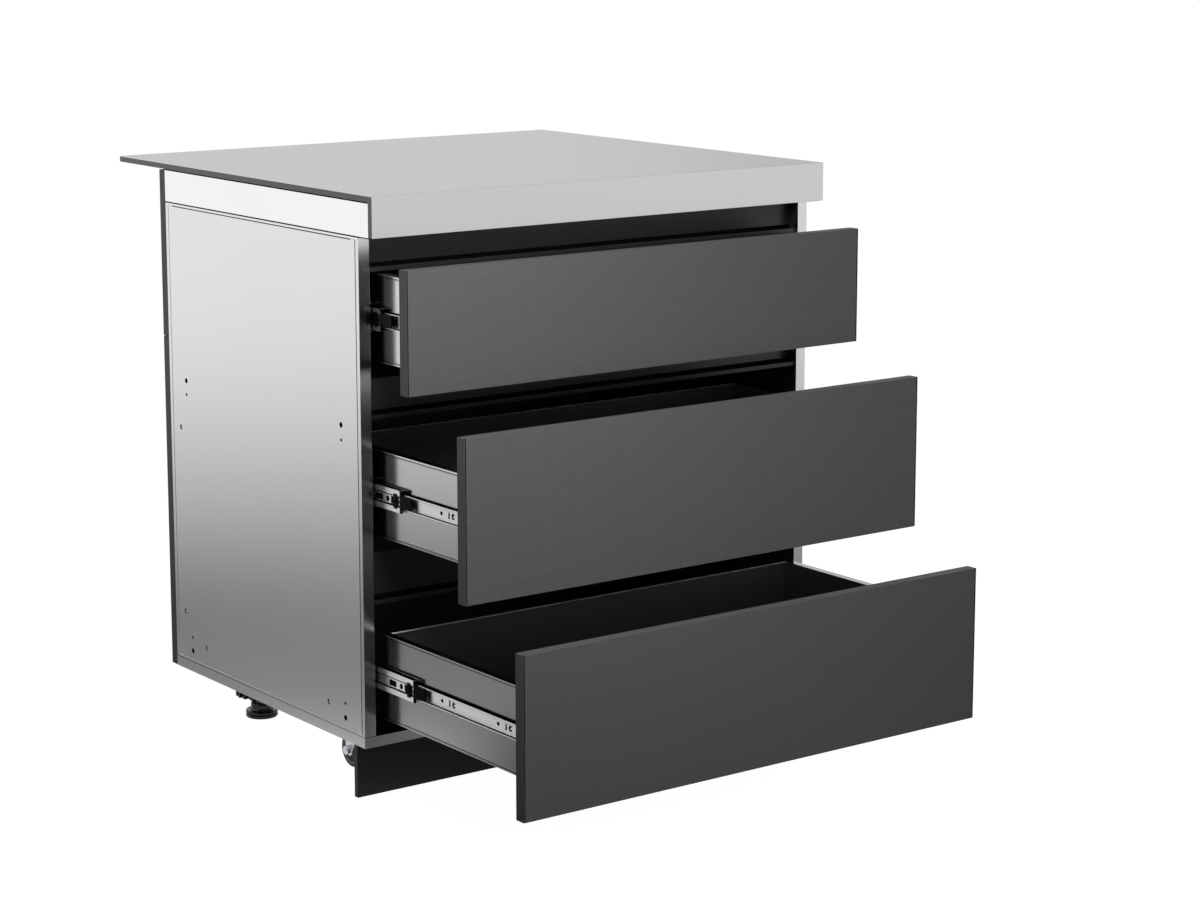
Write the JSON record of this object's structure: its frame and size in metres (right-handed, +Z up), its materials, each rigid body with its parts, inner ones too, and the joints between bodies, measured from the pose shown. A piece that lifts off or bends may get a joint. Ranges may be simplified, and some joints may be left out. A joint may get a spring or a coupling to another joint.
{
  "type": "outdoor kitchen drawer unit",
  "caption": "Stainless steel outdoor kitchen base cabinet with handleless drawers on ball slides, an overhanging folded worktop, a clip-on plinth, levelling feet and casters.",
  "frame": {"origin": "on the floor, under the middle of the part's box with the drawers at their rest openings", "axes": "+X to the right seen from the front, +Y to the back, +Z up; the drawers open towards -Y"},
  "size_m": [0.9, 1.2106, 0.9754],
  "materials": {
    "brushed_stainless": "fine straight brushing along the long side of each sheet",
    "bright_stainless": "very fine bright brushing",
    "drawer_stainless": "satin outside, black coated inside",
    "charcoal_powder_coat": "matt fine-textured powder coat",
    "black_powder_coat": "matt powder coat",
    "black_anodised_rail": "black anodised extrusion",
    "grey_cladding": "matt powder coat",
    "dark_core_board": "sawn and sealed compact board edge",
    "black_plinth_board": "matt compact board",
    "black_plastic": "moulded, slightly glossy",
    "grey_plastic": "moulded",
    "zinc_steel": "bright zinc plated",
    "black_tyre": "smooth rubber tread"
  },
  "bodies": {
    "cabinet": {"side_frame_left": "brushed_stainless", "side_frame_right": "brushed_stainless", "side_panel_left": "brushed_stainless", "side_panel_right": "brushed_stainless", "liner_left": "black_powder_coat", "liner_right": "black_powder_coat", "base_tray": "brushed_stainless", "back_panel": "black_powder_coat", "cladding_upper": "grey_cladding", "cladding_lower": "grey_cladding", "finger_rail_top": "black_anodised_rail", "finger_rail_middle": "black_anodised_rail", "finger_rail_bottom": "black_anodised_rail", "worktop_sheet": "brushed_stainless", "worktop_core": "dark_core_board", "top_band_left": "bright_stainless", "top_band_right": "bright_stainless", "cross_rails": "black_powder_coat", "plinth_panel": "black_plinth_board", "plinth_clips": "black_plastic", "leg_sockets": "black_plastic", "caster_plates": "zinc_steel", "cabinet_runners": "zinc_steel", "screws": "zinc_steel"},
    "drawer_1": {"drawer_1_front": "charcoal_powder_coat", "drawer_1_sides": "drawer_stainless", "drawer_1_back": "black_powder_coat", "drawer_1_floor": "black_powder_coat", "drawer_1_runners": "zinc_steel"},
    "slide_1": {"slide_1_members": "zinc_steel", "slide_1_bumpers": "black_plastic", "slide_1_ball_cages": "zinc_steel"},
    "drawer_2": {"drawer_2_front": "charcoal_powder_coat", "drawer_2_sides": "drawer_stainless", "drawer_2_back": "black_powder_coat", "drawer_2_floor": "black_powder_coat", "drawer_2_runners": "zinc_steel"},
    "slide_2": {"slide_2_members": "zinc_steel", "slide_2_bumpers": "black_plastic", "slide_2_ball_cages": "zinc_steel"},
    "drawer_3": {"drawer_3_front": "charcoal_powder_coat", "drawer_3_sides": "drawer_stainless", "drawer_3_back": "black_powder_coat", "drawer_3_floor": "black_powder_coat", "drawer_3_runners": "zinc_steel"},
    "slide_3": {"slide_3_members": "zinc_steel", "slide_3_bumpers": "black_plastic", "slide_3_ball_cages": "zinc_steel"},
    "foot_front_left": {"foot_front_left": "black_plastic"},
    "foot_front_right": {"foot_front_right": "black_plastic"},
    "foot_rear_left": {"foot_rear_left": "black_plastic"},
    "foot_rear_right": {"foot_rear_right": "black_plastic"},
    "caster_left": {"caster_fork_left": "zinc_steel", "caster_axle_left": "zinc_steel"},
    "wheel_left": {"caster_hub_left": "grey_plastic", "caster_tyre_left": "black_tyre"},
    "caster_right": {"caster_fork_right": "zinc_steel", "caster_axle_right": "zinc_steel"},
    "wheel_right": {"caster_hub_right": "grey_plastic", "caster_tyre_right": "black_tyre"}
  },
  "joints": [
    {"name": "drawer_1_slide", "type": "slide", "parent": "cabinet", "child": "drawer_1", "axis": [0, -1, 0], "range_m": [-0.112, 0.299]},
    {"name": "drawer_2_slide", "type": "slide", "parent": "cabinet", "child": "drawer_2", "axis": [0, -1, 0], "range_m": [-0.264, 0.147]},
    {"name": "drawer_3_slide", "type": "slide", "parent": "cabinet", "child": "drawer_3", "axis": [0, -1, 0], "range_m": [-0.411, 0]},
    {"name": "slide_1_travel", "type": "slide", "parent": "cabinet", "child": "slide_1", "axis": [0, -1, 0], "range_m": [-0.0549, 0.1466]},
    {"name": "slide_2_travel", "type": "slide", "parent": "cabinet", "child": "slide_2", "axis": [0, -1, 0], "range_m": [-0.1043, 0.0581]},
    {"name": "slide_3_travel", "type": "slide", "parent": "cabinet", "child": "slide_3", "axis": [0, -1, 0], "range_m": [-0.1365, 0]},
    {"name": "foot_front_left_screw", "type": "slide", "parent": "cabinet", "child": "foot_front_left", "axis": [0, 0, -1], "range_m": [-0.008, 0.015]},
    {"name": "foot_front_right_screw", "type": "slide", "parent": "cabinet", "child": "foot_front_right", "axis": [0, 0, -1], "range_m": [-0.008, 0.015]},
    {"name": "foot_rear_left_screw", "type": "slide", "parent": "cabinet", "child": "foot_rear_left", "axis": [0, 0, -1], "range_m": [-0.008, 0.015]},
    {"name": "foot_rear_right_screw", "type": "slide", "parent": "cabinet", "child": "foot_rear_right", "axis": [0, 0, -1], "range_m": [-0.008, 0.015]},
    {"name": "caster_left_swivel", "type": "hinge", "parent": "cabinet", "child": "caster_left", "pos_m": [-0.34, 0.0067, 0.09], "axis": [0, 0, 1], "continuous": true},
    {"name": "wheel_left_spin", "type": "hinge", "parent": "caster_left", "child": "wheel_left", "pos_m": [-0.34, 0.0322, 0.0305], "axis": [1, 0, 0], "continuous": true},
    {"name": "caster_right_swivel", "type": "hinge", "parent": "cabinet", "child": "caster_right", "pos_m": [0.34, 0.0067, 0.09], "axis": [0, 0, 1], "continuous": true},
    {"name": "wheel_right_spin", "type": "hinge", "parent": "caster_right", "child": "wheel_right", "pos_m": [0.34, 0.0322, 0.0305], "axis": [1, 0, 0], "continuous": true}
  ],
  "couplings": [
    {"joint": "slide_1_travel", "follows": "drawer_1_slide", "ratio": 0.49},
    {"joint": "slide_2_travel", "follows": "drawer_2_slide", "ratio": 0.395},
    {"joint": "slide_3_travel", "follows": "drawer_3_slide", "ratio": 0.332}
  ]
}
